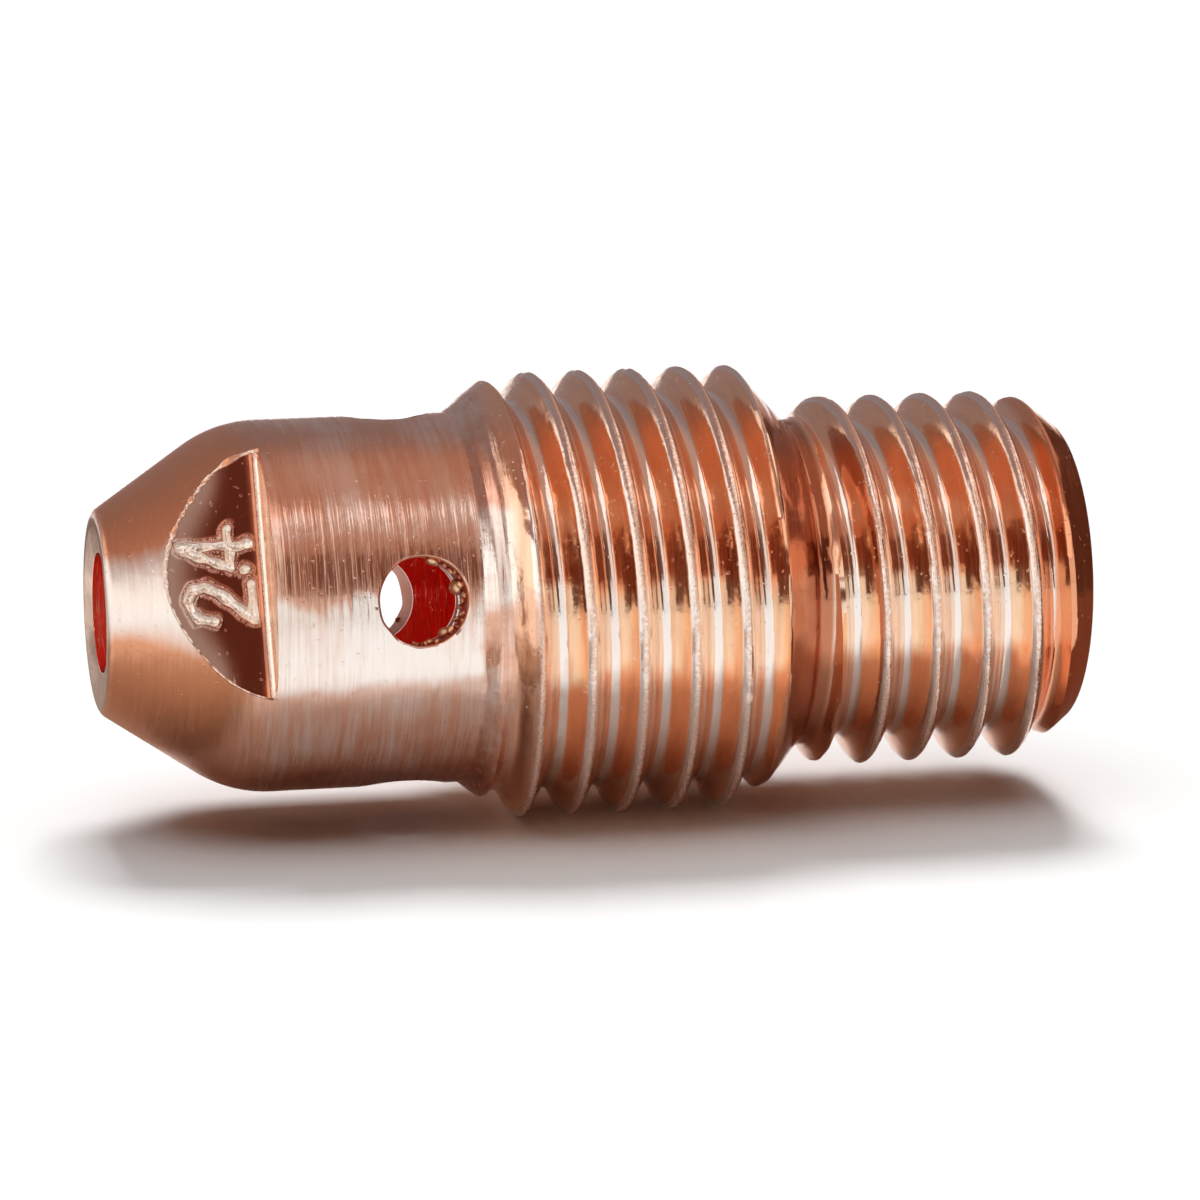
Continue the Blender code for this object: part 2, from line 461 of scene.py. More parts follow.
portShape = {
    "place": 6.10,
    "radius": 0.89,
    "elevation": 11.0,  # of the port that faces the camera, in degrees
    "count": 4,
    "edgeBreak": 0.05,
    "segments": 88,
    "cutLevels": (-2.6, -0.9, -0.25),  # the cutter's straight rings, from the barrel
    "cutTop": 0.25,
    "burr": 0.016,
    "burrWaves": 12,
    "burrFirst": 3,  # waves round the mouth
    "burrShift": 5.0,
    "burrSum": 3.0,  # about what the waves add up to
    "burrReach": 0.2,  # down from the mouth
    "crumbs": 160,  # tries for each port
    "crumbDepth": 0.85,  # below the barrel, at most
    "crumbCover": 1.1,  # and at least, in radii
    "crumbOut": 0.2,  # how far out of the wall, in radii
    "crumbRoom": 1.15,  # from one to another, in radii
    "crumbStretch": (0.8, 1.15),
    "crumbDents": (0.84, 1.0),
    "crumbArc": (-15.0, 38.0),  # middle and spread round the mouth, in degrees from the threads' side
    "crumbTurn": 95.0,  # from each port to the next
    "crumbRadius": (0.05, 0.20),  # on the port that faces the camera
    "otherCrumbs": (0.03, 0.08),
}


def portAngle(number):
    return math.radians(90.0 - portShape["elevation"] + 360.0 / portShape["count"] * number)


def portPoint(number, turn, radius, lift):
    # a point round the port's mouth, lifted off the barrel by so many millimetres
    side = radius * math.sin(turn)
    height = math.sqrt(bodyShape["barrelRadius"] ** 2 - side ** 2) + lift
    axis = outward(portAngle(number))
    across = axis.cross(Vector((1.0, 0.0, 0.0)))
    return axisPoint(portShape["place"] + radius * math.cos(turn)) + (axis * height + across * side) * mm


def makePortCutter(number):
    shape = portShape
    edge = shape["edgeBreak"]
    ragged = random.uniform(-1.0, 1.0, shape["burrWaves"])
    levels = [(lift, 0.0) for lift in (*shape["cutLevels"], -edge)]
    levels += [(lift, lift + edge) for lift in (0.0, shape["cutTop"])]
    rings = []
    for lift, wider in levels:
        ring = []
        for step in range(shape["segments"]):
            turn = 2 * math.pi * step / shape["segments"]
            wobble = sum(size * math.sin((wave + shape["burrFirst"]) * turn
                                         + shape["burrShift"] * ragged[wave - 1])
                         for wave, size in enumerate(ragged))
            fade = math.exp(-(lift / shape["burrReach"]) ** 2)
            burr = shape["burr"] * wobble * fade / shape["burrSum"]
            ring.append(portPoint(number, turn, shape["radius"] + wider + burr, lift))
        rings.append(ring)
    return newObject("portCutter", *skin(rings))


def makePortCrumbs(number):
    # burrs that the drill left in the mouth, none over another
    shape = portShape
    crumbs = bmesh.new()
    placed = []
    for _ in range(shape["crumbs"]):
        turn = math.radians(random.normal(*shape["crumbArc"]) + number * shape["crumbTurn"])
        low, high = shape["otherCrumbs" if number else "crumbRadius"]
        radius = low + (high - low) * random.uniform() ** 2
        depth = random.uniform(shape["crumbCover"] * radius, shape["crumbDepth"])
        spot = portPoint(number, turn, shape["radius"] - shape["crumbOut"] * radius, -depth)
        if any((spot - other).length < (radius + size) * shape["crumbRoom"] * mm for other, size in placed):
            continue
        placed.append((spot, radius))
        size = Matrix.Diagonal(Vector(random.uniform(*shape["crumbStretch"], 3))).to_4x4()
        made = bmesh.ops.create_icosphere(crumbs, subdivisions=2, radius=radius * mm,
                                          matrix=Matrix.Translation(spot) @ size)
        for vertex in made["verts"]:
            vertex.co = spot + (vertex.co - spot) * random.uniform(*shape["crumbDents"])
    mesh = bpy.data.meshes.new("portCrumbs")
    crumbs.to_mesh(mesh)
    crumbs.free()
    made = bpy.data.objects.new("portCrumbs", mesh)
    bpy.context.scene.collection.objects.link(made)
    return made


# Milled flat with its stamped size

flatShape = {
    "distance": 2.79,  # from the axis
    "elevation": 24.6,
    "end": 3.15,
    "endRound": 0.20,
    "halfWidth": 4.2,
    "top": 4.6,
    "strokeHalf": 0.125,
    "strokeRagged": 0.030,
    "strokeWaves": 8,
    "waveSpread": (16.0, 16.0, 6.0),  # along, up and shift, in radians
    "waveSum": 3,  # about what the waves add up to
    "strokeDepth": 0.10,
    "strokeGrain": 0.014,
    "lipHeight": 0.012,
    "lipPlace": 0.02,  # outside the stroke
    "lipHalf": 0.03,
    "lipGrain": 0.5,  # share of the stroke's grain
    "fadeLength": 0.1,  # of the strokes, before the rounded end
    "gridStep": 0.022,
    "frontRows": (-0.6, 0.4, 0.9, 1.1),  # places before the fine grid
    "gridPlace": 1.22,
    "gridGap": 0.01,  # before the rounded end
    "gridHeight": (-1.16, 1.28),
    "sideRows": (1.4, 1.8, 2.4, 3.2),  # heights beside the fine grid
    "endSteps": 9,
    "burrRadius": (0.022, 0.050),  # low and high on the flat
    "burrHeight": (-0.8, 0.6),  # where it has these sizes
    "burrLumps": (0.2, 1.8),
    "burrRings": 150,
    "burrSides": 8,
}

# strokes of the stamped size, as (place along the axis, height up the flat)
sizeStrokes = (
    ((1.42, 0.62), (2.84, 0.62)),
    ((1.42, 0.60), (2.42, 0.16)),
    ((2.42, 0.16), (2.40, 0.94)),
    ((2.67, 0.12), (2.69, 0.13)),
    ((2.02, -0.90), (1.72, -0.88), (1.56, -0.72), (1.53, -0.50),
     (1.63, -0.28), (1.85, -0.20), (2.10, -0.33)),
    ((2.10, -0.33), (2.45, -0.62), (2.80, -0.90)),
    ((2.82, -0.90), (2.82, -0.18)),
)


def strokeDistance(place, height):
    nearest = np.full(place.shape, np.inf)
    for stroke in sizeStrokes:
        for start, end in zip(stroke, stroke[1:]):
            alongPlace, alongHeight = end[0] - start[0], end[1] - start[1]
            square = alongPlace ** 2 + alongHeight ** 2
            fromPlace, fromHeight = place - start[0], height - start[1]
            part = np.clip((fromPlace * alongPlace + fromHeight * alongHeight) / square, 0.0, 1.0)
            gap = np.hypot(fromPlace - part * alongPlace, fromHeight - part * alongHeight)
            nearest = np.minimum(nearest, gap)
    return nearest


def flatFloor(place, height):
    # distance of the cut's floor from the axis
    shape = flatShape
    floor = np.full(place.shape, shape["distance"])
    cornerStart = shape["end"] - shape["endRound"]
    into = np.clip(place - cornerStart, 0.0, shape["endRound"])
    floor = floor + shape["endRound"] - np.sqrt(shape["endRound"] ** 2 - into ** 2)
    gap = strokeDistance(place, height)
    waves = random.uniform(-1.0, 1.0, (shape["strokeWaves"], 3)) * shape["waveSpread"]
    for along, up, shift in waves:
        gap = gap + shape["strokeRagged"] / shape["waveSum"] * np.sin(place * along + height * up + shift)
    groove = smoothStep(0.0, 1.0, 1.0 - gap / shape["strokeHalf"])
    lip = np.exp(-((gap - shape["strokeHalf"] - shape["lipPlace"]) / shape["lipHalf"]) ** 2)
    fade = 1.0 - smoothStep(cornerStart - shape["fadeLength"], cornerStart, place)
    rough = np.maximum(groove, shape["lipGrain"] * lip)
    grain = shape["strokeGrain"] * random.uniform(-1.0, 1.0, place.shape) * rough
    return floor + (shape["lipHeight"] * lip - shape["strokeDepth"] * groove + grain) * fade


def flatPoint(place, height, level):
    # a point up the flat, at a level from the axis
    angle = math.radians(90.0 - flatShape["elevation"])
    return axisPoint(place) + (outward(angle) * level + outward(angle - math.pi / 2) * height) * mm


def makeFlatCutter():
    shape = flatShape
    step = shape["gridStep"]
    gridEnd = shape["end"] - shape["endRound"] - shape["gridGap"]
    endTurn = np.linspace(0, math.pi / 2, shape["endSteps"])
    places = np.concatenate([shape["frontRows"], np.arange(shape["gridPlace"], gridEnd, step),
                             shape["end"] - shape["endRound"] * (1 - np.sin(endTurn))])
    beside = np.array([*shape["sideRows"], shape["halfWidth"]])
    heights = np.concatenate([-beside[::-1], np.arange(*shape["gridHeight"], step), beside])
    place, height = np.meshgrid(places, heights, indexing="ij")
    floor = flatFloor(place, height)
    rows, across = place.shape
    points = []
    for level in (floor, np.full(floor.shape, shape["top"])):
        points += [flatPoint(*spot) for spot in zip(place.flat, height.flat, level.flat)]
    upper = rows * across
    faces = []
    for row in range(rows - 1):
        for column in range(across - 1):
            corner = row * across + column
            faces.append((corner, corner + across, corner + across + 1, corner + 1))
            corner += upper
            faces.append((corner, corner + 1, corner + across + 1, corner + across))
    border = list(range(across))
    border += [row * across + across - 1 for row in range(1, rows)]
    border += [(rows - 1) * across + column for column in range(across - 2, -1, -1)]
    border += [row * across for row in range(rows - 2, 0, -1)]
    for near, far in zip(border, border[1:] + border[:1]):
        faces.append((near, far, upper + far, upper + near))
    return newObject("flatCutter", points, faces)


def makeFlatBurr():
    # a thin bead where the cutter left the nose, from the flat's lower corner round to its upper one
    shape = flatShape
    count = shape["burrRings"]
    outline = np.array([point for point in noseProfile() if point[0] > bodyShape["noseCorner"]])
    widest = math.sqrt(np.interp(shape["end"], outline[:, 0], outline[:, 1]) ** 2 - shape["distance"] ** 2)
    heights = np.linspace(-widest, widest, count)
    places = np.interp(np.hypot(heights, shape["distance"]), outline[:, 1], outline[:, 0])
    lumps = np.convolve(random.uniform(*shape["burrLumps"], count + 2), (0.25, 0.5, 0.25), 'valid')
    radii = np.interp(heights, shape["burrHeight"], shape["burrRadius"]) * lumps
    rings = []
    for index in range(count):
        before, after = max(index - 1, 0), min(index + 1, count - 1)
        along = Vector((places[after] - places[before], heights[after] - heights[before])).normalized()
        ring = []
        for step in range(shape["burrSides"]):
            turn = 2 * math.pi * step / shape["burrSides"]
            side = radii[index] * math.cos(turn)
            ring.append(flatPoint(places[index] - along.y * side, heights[index] + along.x * side,
                                  shape["distance"] + radii[index] * math.sin(turn)))
        rings.append(ring)
    return newObject("flatBurr", *skin(rings))


def faceOutward(solid):
    # turns a closed mesh the right way out
    shape = bmesh.new()
    shape.from_mesh(solid.data)
    bmesh.ops.recalc_face_normals(shape, faces=shape.faces)
    shape.to_mesh(solid.data)
    shape.free()


def combine(body, tool, operation):
    faceOutward(tool)
    change = body.modifiers.new(tool.name, 'BOOLEAN')
    change.operation = operation
    change.solver = 'MANIFOLD'
    change.object = tool
    depsgraph = bpy.context.evaluated_depsgraph_get()
    made = bpy.data.meshes.new_from_object(body.evaluated_get(depsgraph))
    body.modifiers.clear()
    old = body.data
    body.data = made
    bpy.data.meshes.remove(old)
    bpy.data.objects.remove(tool)


collet = makeBody()
faceOutward(collet)
for port in range(portShape["count"]):
    combine(collet, makePortCutter(port), 'DIFFERENCE')
    combine(collet, makePortCrumbs(port), 'UNION')
    print("port", port + 1, "cut:", len(collet.data.polygons), "faces")
combine(collet, makeFlatCutter(), 'DIFFERENCE')
combine(collet, makeFlatBurr(), 'UNION')
print("flat cut:", len(collet.data.polygons), "faces")
collet.data.shade_smooth()
collet.data.set_sharp_from_angle(angle=math.radians(bodyShape["sharpAngle"]))


# Copper

copperFinish = {
    "barrel": (0.91, 0.82, 0.76, 1.0),
    "tarnish": (0.74, 0.42, 0.30, 1.0),
    "noseTarnish": (0.80, 0.37, 0.21, 1.0),
    # painted shade on the underside of the body before the threads
    "undersideShade": (0.62, 0.28, 0.17, 1.0),
    "flank": (0.98, 0.56, 0.36, 1.0),
    # paler flank colours, used only in the painted sheen on the front side
    "sheenFlank": (0.97, 0.64, 0.43, 1.0),
    "sheenFootFlank": (0.98, 0.80, 0.64, 1.0),  # beside the root, in the painted sheen
    # painted shade on the lip, and a painted highlight band across it
    "lip": (0.44, 0.30, 0.26, 1.0),
    "lipGleam": (0.80, 0.64, 0.56, 1.0),
    "crest": (0.86, 0.60, 0.47, 1.0),
    # painted shade in the neck groove between the threads
    "neck": (0.52, 0.20, 0.11, 1.0),
    "rear": (0.82, 0.36, 0.20, 1.0),
    "bore": (1.0, 0.60, 0.52, 1.0),
    # the port walls' dark red is partly red oxide and partly painted shade inside the ports
    "port": (0.52, 0.16, 0.08, 1.0),
    "crumb": (0.97, 0.66, 0.42, 1.0),
    # painted shade: the flat is coloured dark so that its mirror reflection stays dark
    "flat": (0.46, 0.19, 0.13, 1.0),
    "flatHaze": (0.66, 0.52, 0.46, 1.0),
    # painted reflection of the step wall, on the flat before the step
    "flatStepReflection": (0.95, 0.40, 0.24, 1.0),
    "flatStep": (1.0, 0.86, 0.72, 1.0),
    "burr": (1.0, 0.82, 0.68, 1.0),
    "stamp": (1.0, 0.92, 0.84, 1.0),
    "barrelRough": (0.12, 0.28),
    "noseRough": 0.34,
    "lipRough": 0.20,
    "threadRough": (0.07, 0.18),
    "crestRough": 0.36,
    "boreRough": 0.12,
    "portRough": 0.50,
    "flatRough": 0.10,
    "flatHazeRough": 0.38,
    "flatStepReflectionRough": 0.26,
    "burrRough": 0.30,
    "stampRough": 0.28,
    "markHeight": 4.0e-6,
    "waves": 10.0,  # the bump's parts, beside the finest marks
    "coarseMarks": 3.0,
    "threadMarks": 0.30,
    "flatMarks": 0.04,
    "leadMarks": 2.0,
    "crestGrain": 1.6,
}

# where the finishes lie: edges as (start, end), bands as (low, high, softness), in millimetres from
# the size that the code names, or as shares from -1 at the bottom to 1 at the top
copperZones = {
    "fineStreaks": (26.0, 0.9, 4.0),  # along, around and detail
    "coarseStreaks": (7.0, 0.5, 2.0),
    "patches": (0.6, 0.6, 4.0),
    "grain": (14.0, 3.0),  # scale and detail
    "specks": (8.0, 1.0),
    "mottle": (3.0, 5.0),
    "wallEdge": (0.02, 0.08),
    "portEdge": (0.01, 0.03),
    "crumbEdge": (-0.06, -0.03),
    "colletStart": (0.7, 1.0),
    "boreEdge": (0.0, 0.05),
    "threadEdge": (0.4, 0.7),
    "crestDepth": (0.015, 0.06),
    "flankDepth": (0.12, 0.53, 0.03),
    "footDepth": (0.22, 0.46),
    "neckBand": (0.25, -0.1, 0.15),
    "neckDepth": (0.10, 0.20),
    "rearEdge": (0.0, 0.1),
    "bandPatches": 0.35,  # what makes the edges of the painted sheen and shade bands uneven
    "bandStreaks": 0.10,
    "frontEdge": (-0.5, 0.5),
    "noseEnd": (2.4, 3.4),
    "barrelSheenBand": (-0.38, -0.04, 0.13),  # painted sheen, standing in for the reflection of the pale front
    "upperSheenBand": (0.40, 0.48, 0.10),
    "upperSheenShare": 0.5,
    "noseSheenBand": (-0.02, 0.30, 0.40),
    "leadEdge": (0.2, 0.1),  # end and softness
    "leadSheenBand": (0.04, 0.36, 0.16),
    "lipEnd": (0.20, 0.30),
    "lipEdge": (-0.12, 0.02),
    "lipSheenEdge": (0.3, 0.9, 1.0, 0.4),
    "gleamBand": (-0.20, 0.40, 0.25),
    "gleamClearEnd": (0.02, 0.14),
    "stepEdge": (-0.12, -0.06),
    "flatLevel": (-0.008, 0.008, 0.01),
    "hazeDepth": (0.05, 0.60, 0.8, 0.0),
    "hazeEnd": (2.0, 2.6),
    "stepReflectionEdge": (-0.34, -0.14),
    "stepReflectionPatches": (0.30, 0.55),
    "stepBand": (-0.15, 0.01),
    "stepSoft": 0.02,
    "stepLevel": (-0.04, -0.015),
    "stepTop": (-0.12, -0.08),
    "burrLevel": (-0.05, -0.016, 0.008),
    "burrGrain": (0.40, 0.58, 0.15, 1.0),
    "underCone": (0.06, 0.10),
    "stampEdge": (1.2, 1.3),
    "stampLevel": (0.03, 0.20, 0.012),
    "speckEdge": (0.70, 0.76),
    "speckShine": 0.6,
    "dullNose": (0.8, 3.2, 1.25, 0.85),
    "dullSheen": (1.0, 0.05),  # outside the painted sheen, and inside it
    "dullGleam": (1.0, 0.35),
    "streaky": (2.0, 3.6, 0.30, 1.0),
    "stainWeights": (1.5, 0.9, 0.8),  # patches, coarse and fine streaks
    "threadStart": (0.0, 0.3),
    "threadStain": (1.0, 0.35),  # before the threads, and on them
    "mottleEdge": (0.6, 0.3),  # end and softness
    "mottleStain": 0.9,
    "mottleSpots": (0.0, 0.1),
    "mottleRough": 0.08,
    "underShadeHeight": (-0.80, -0.42, 0.8, 0.0),
    "roughStreaks": (0.3, 0.7),
    "flankStain": (0.40, 0.75, 0.0, 0.5),
    "crestWorn": (0.40, 0.60, 0.25, 1.0),
}


class NodeDesk:
    # short ways to lay nodes into one tree
    def __init__(self, tree):
        self.nodes = tree.nodes
        self.links = tree.links

    def set(self, socket, value):
        if isinstance(value, bpy.types.NodeSocket):
            self.links.new(value, socket)
        else:
            socket.default_value = value

    def math(self, operation, first, second=0.0):
        node = self.nodes.new('ShaderNodeMath')
        node.operation = operation
        self.set(node.inputs[0], first)
        self.set(node.inputs[1], second)
        return node.outputs["Value"]

    def plus(self, first, second):
        return self.math('ADD', first, second)

    def minus(self, first, second):
        return self.math('SUBTRACT', first, second)

    def times(self, result, *others):
        for other in others:
            result = self.math('MULTIPLY', result, other)
        return result

    def vector(self, operation, first, second):
        node = self.nodes.new('ShaderNodeVectorMath')
        node.operation = operation
        self.set(node.inputs[0], first)
        self.set(node.inputs[1], second)
        return node.outputs["Value" if operation == 'DOT_PRODUCT' else "Vector"]

    def spread(self, value, low, high, lowResult=0.0, highResult=1.0):
        node = self.nodes.new('ShaderNodeMapRange')
        node.interpolation_type = 'SMOOTHSTEP'
        for name, number in (("Value", value), ("From Min", low), ("From Max", high),
                             ("To Min", lowResult), ("To Max", highResult)):
            self.set(node.inputs[name], number)
        return node.outputs["Result"]

    def fade(self, value, low, high):
        return self.spread(value, low, high, 1.0, 0.0)

    def band(self, value, low, high, soft):
        # 1 between low and high, fading to 0 over the soft width outside
        return self.times(self.spread(value, low - soft, low), self.fade(value, high, high + soft))

    def blend(self, kind, factor, first, second):
        node = self.nodes.new('ShaderNodeMix')
        node.data_type = kind
        self.set(node.inputs["Factor"], factor)
        ends = [socket for socket in node.inputs if socket.name in ("A", "B") and socket.enabled]
        self.set(ends[0], first)
        self.set(ends[1], second)
        return next(socket for socket in node.outputs if socket.enabled)


def streakGroup():
    # noise drawn out round the turning axis, as a lathe tool leaves it
    group = bpy.data.node_groups.new("turningStreaks", 'ShaderNodeTree')
    for name, value in (("Along", 12.0), ("Around", 0.7), ("Detail", 3.0)):
        socket = group.interface.new_socket(name, in_out='INPUT', socket_type='NodeSocketFloat')
        socket.default_value = value
    group.interface.new_socket("Streak", in_out='OUTPUT', socket_type='NodeSocketFloat')
    desk = NodeDesk(group)
    given = group.nodes.new('NodeGroupInput')
    result = group.nodes.new('NodeGroupOutput')
    where = group.nodes.new('ShaderNodeTexCoord')
    inMillimetres = desk.vector('DIVIDE', where.outputs["Object"], (mm, mm, mm))
    stretch = group.nodes.new('ShaderNodeCombineXYZ')
    for axis, name in (("X", "Along"), ("Y", "Around"), ("Z", "Around")):
        desk.set(stretch.inputs[axis], given.outputs[name])
    grain = group.nodes.new('ShaderNodeTexNoise')
    grain.inputs["Scale"].default_value = 1.0
    desk.set(grain.inputs["Vector"], desk.vector('MULTIPLY', inMillimetres, stretch.outputs["Vector"]))
    desk.set(grain.inputs["Detail"], given.outputs["Detail"])
    desk.set(result.inputs["Streak"], grain.outputs["Fac"])
    return group


def beside(base, edges):
    return [base + edge for edge in edges]


def makeCopper():
    finish = copperFinish
    zones = copperZones
    shape = bodyShape
    material = bpy.data.materials.new("turnedCopper")
    material.use_nodes = True
    nodes = material.node_tree.nodes
    desk = NodeDesk(material.node_tree)
    shader = nodes["Principled BSDF"]
    shader.inputs["Metallic"].default_value = 1.0
    group = streakGroup()

    def streak(name):
        node = nodes.new('ShaderNodeGroup')
        node.node_tree = group
        for socket, value in zip(("Along", "Around", "Detail"), zones[name]):
            node.inputs[socket].default_value = value
        return node.outputs["Streak"]

    where = nodes.new('ShaderNodeTexCoord').outputs["Object"]
    inMillimetres = desk.vector('DIVIDE', where, (mm, mm, mm))

    def noise(name):
        node = nodes.new('ShaderNodeTexNoise')
        for socket, value in zip(("Scale", "Detail"), zones[name]):
            node.inputs[socket].default_value = value
        desk.set(node.inputs["Vector"], inMillimetres)
        return node.outputs["Fac"]

    def turned(elevation):
        # places in millimetres, turned so that this elevation lies on the Y axis
        turn = nodes.new('ShaderNodeVectorRotate')
        turn.rotation_type = 'X_AXIS'
        turn.inputs["Angle"].default_value = math.radians(elevation)
        desk.set(turn.inputs["Vector"], inMillimetres)
        split = nodes.new('ShaderNodeSeparateXYZ')
        desk.set(split.inputs["Vector"], turn.outputs["Vector"])
        return split.outputs

    def length(first, second):
        return desk.math('SQRT', desk.plus(desk.times(first, first), desk.times(second, second)))

    fine = streak("fineStreaks")
    coarse = streak("coarseStreaks")
    patches = streak("patches")
    grain = noise("grain")
    specks = desk.spread(noise("specks"), *zones["speckEdge"])

    # where a point lies on the part
    portPlace = turned(portShape["elevation"])
    flatPlace = turned(flatShape["elevation"])
    place = desk.minus(portPlace["X"], noseX / mm)
    sideY = desk.math('ABSOLUTE', portPlace["Y"])
    sideZ = desk.math('ABSOLUTE', portPlace["Z"])
    fromAxis = length(sideY, sideZ)
    fromPort = length(desk.minus(place, portShape["place"]), desk.math('MINIMUM', sideY, sideZ))
    onTorch = desk.spread(place, shape["neckStart"], shape["neckEnd"])
    crestRadius = desk.blend('FLOAT', onTorch, nozzleThread["crestRadius"], torchThread["crestRadius"])
    below = desk.minus(crestRadius, fromAxis)
    coneSlope = (shape["barrelRadius"] - shape["noseRadius"]) / shape["coneLength"]
    coneRadius = desk.plus(desk.times(place, coneSlope), shape["noseRadius"])
    coneDepth = desk.minus(coneRadius, fromAxis)
    intoFlat = desk.plus(flatPlace["Y"], flatShape["distance"])
    ragged = desk.plus(desk.times(patches, zones["bandPatches"]), desk.times(coarse, zones["bandStreaks"]))
    raggedMiddle = (zones["bandPatches"] + zones["bandStreaks"]) / 2
    upSide = desk.plus(desk.math('DIVIDE', portPlace["Z"], fromAxis), desk.minus(ragged, raggedMiddle))

    # masks of the bores, the ports and the threads
    inMetal = desk.spread(fromAxis, *beside(shape["colletBore"], zones["wallEdge"]))
    inPort = desk.times(inMetal, desk.fade(fromPort, *beside(portShape["radius"], zones["portEdge"])))
    onCrumb = desk.times(inMetal, desk.fade(fromPort, *beside(portShape["radius"], zones["crumbEdge"])))
    inCollet = desk.times(desk.spread(place, *zones["colletStart"]), desk.minus(1.0, inMetal))
    inElectrode = desk.fade(fromAxis, *beside(shape["electrodeBore"], zones["boreEdge"]))
    inBore = desk.math('MAXIMUM', inCollet, inElectrode)
    onThread = desk.spread(place, *beside(shape["barrelEnd"], zones["threadEdge"]))
    onCrest = desk.times(onThread, desk.fade(below, *zones["crestDepth"]))
    onFlank = desk.times(onThread, desk.band(below, *zones["flankDepth"]))
    # painted shade in the neck groove, below the crests
    fromNozzle, fromNeck, soft = zones["neckBand"]
    neckShade = desk.band(place, shape["nozzleEnd"] + fromNozzle, shape["neckEnd"] + fromNeck, soft)
    neckShade = desk.times(neckShade, desk.spread(below, *zones["neckDepth"]))
    onRear = desk.spread(place, *beside(shape["torchEnd"], zones["rearEdge"]))

    # masks of a painted sheen on the front side, which stands in for the reflection of the pale floor
    # there, and of the lip
    onNose = desk.fade(place, *zones["noseEnd"])
    inFront = desk.fade(portPlace["Y"], *zones["frontEdge"])
    leadEnd, soft = zones["leadEdge"]
    onLead = desk.band(place, shape["barrelEnd"], shape["nozzleStart"] + leadEnd, soft)
    # painted sheen: bands up the front side, on the barrel, the nose and the lead, coloured paler as a
    # stand-in for reflection
    upper = desk.times(desk.band(upSide, *zones["upperSheenBand"]), zones["upperSheenShare"])
    paintedSheen = desk.math('MAXIMUM', desk.band(upSide, *zones["barrelSheenBand"]), upper)
    paintedSheen = desk.blend('FLOAT', onNose, paintedSheen, desk.band(upSide, *zones["noseSheenBand"]))
    paintedSheen = desk.blend('FLOAT', onLead, paintedSheen, desk.band(upSide, *zones["leadSheenBand"]))
    paintedSheen = desk.times(paintedSheen, inFront)
    # painted shade on the lip outside the painted sheen, with a painted highlight band across it
    onLip = desk.times(desk.fade(place, *zones["lipEnd"]),
                       desk.fade(fromAxis, *beside(shape["noseRadius"], zones["lipEdge"])),
                       desk.spread(paintedSheen, *zones["lipSheenEdge"]))
    gleaming = desk.band(upSide, *zones["gleamBand"])
    lipGleam = desk.times(onLip, gleaming)

    # masks of the flat, its step, its burr and its stamp
    beforeStep = desk.fade(place, *beside(flatShape["end"], zones["stepEdge"]))
    onFlat = desk.times(beforeStep, desk.band(intoFlat, *zones["flatLevel"]))
    flatHaze = desk.times(desk.spread(coneDepth, *zones["hazeDepth"]), desk.fade(place, *zones["hazeEnd"]),
                          onFlat)
    # painted reflection: an orange band on the flat before the step, where the step wall shows in it
    flatStepReflection = desk.times(onFlat, desk.spread(place, *beside(flatShape["end"], zones["stepReflectionEdge"])),
                          desk.spread(patches, *zones["stepReflectionPatches"]))
    onStep = desk.times(desk.band(place, *beside(flatShape["end"], zones["stepBand"]), zones["stepSoft"]),
                        desk.fade(intoFlat, *zones["stepLevel"]),
                        desk.fade(fromAxis, *beside(shape["barrelRadius"], zones["stepTop"])))
    onBurr = desk.times(beforeStep, desk.band(intoFlat, *zones["burrLevel"]),
                        desk.spread(grain, *zones["burrGrain"]))
    underCone = desk.spread(coneDepth, *zones["underCone"])
    nearStamp = desk.fade(desk.math('ABSOLUTE', flatPlace["Z"]), *zones["stampEdge"])
    inStamp = desk.times(desk.band(intoFlat, *zones["stampLevel"]), desk.times(underCone, nearStamp))

    # the painted sheen on the front side is kept clear of tarnish, the threads are worn bright, and the
    # rest is tarnished, the nose most of all
    # the painted highlight band also keeps tarnish off the front face of the nose
    gleamClear = desk.times(gleaming, desk.fade(place, *zones["gleamClearEnd"]))
    stain = desk.times(desk.spread(place, *zones["dullNose"]),
                       desk.spread(paintedSheen, 0.0, 1.0, *zones["dullSheen"]),
                       desk.spread(gleamClear, 0.0, 1.0, *zones["dullGleam"]))
    streaky = desk.spread(place, *zones["streaky"])
    for texture, weight in zip((patches, coarse, fine), zones["stainWeights"]):
        uneven = desk.times(desk.minus(texture, 0.5), weight)
        stain = desk.plus(stain, desk.times(uneven, streaky))
    stain = desk.times(stain, desk.spread(place, *beside(shape["nozzleStart"], zones["threadStart"]),
                                          *zones["threadStain"]))
    mottleEnd, soft = zones["mottleEdge"]
    mottled = desk.band(place, shape["barrelEnd"], shape["nozzleStart"] + mottleEnd, soft)
    mottle = desk.times(mottled, desk.minus(noise("mottle"), 0.5))
    stain = desk.plus(stain, desk.times(mottle, zones["mottleStain"]))
    tarnish = desk.blend('RGBA', onNose, finish["tarnish"], finish["noseTarnish"])
    # painted shade: darker towards the bottom, away from the threads
    underShade = desk.times(desk.spread(upSide, *zones["underShadeHeight"]), desk.minus(1.0, onThread))
    tarnish = desk.blend('RGBA', underShade, tarnish, finish["undersideShade"])
    colour = desk.blend('RGBA', stain, finish["barrel"], tarnish)
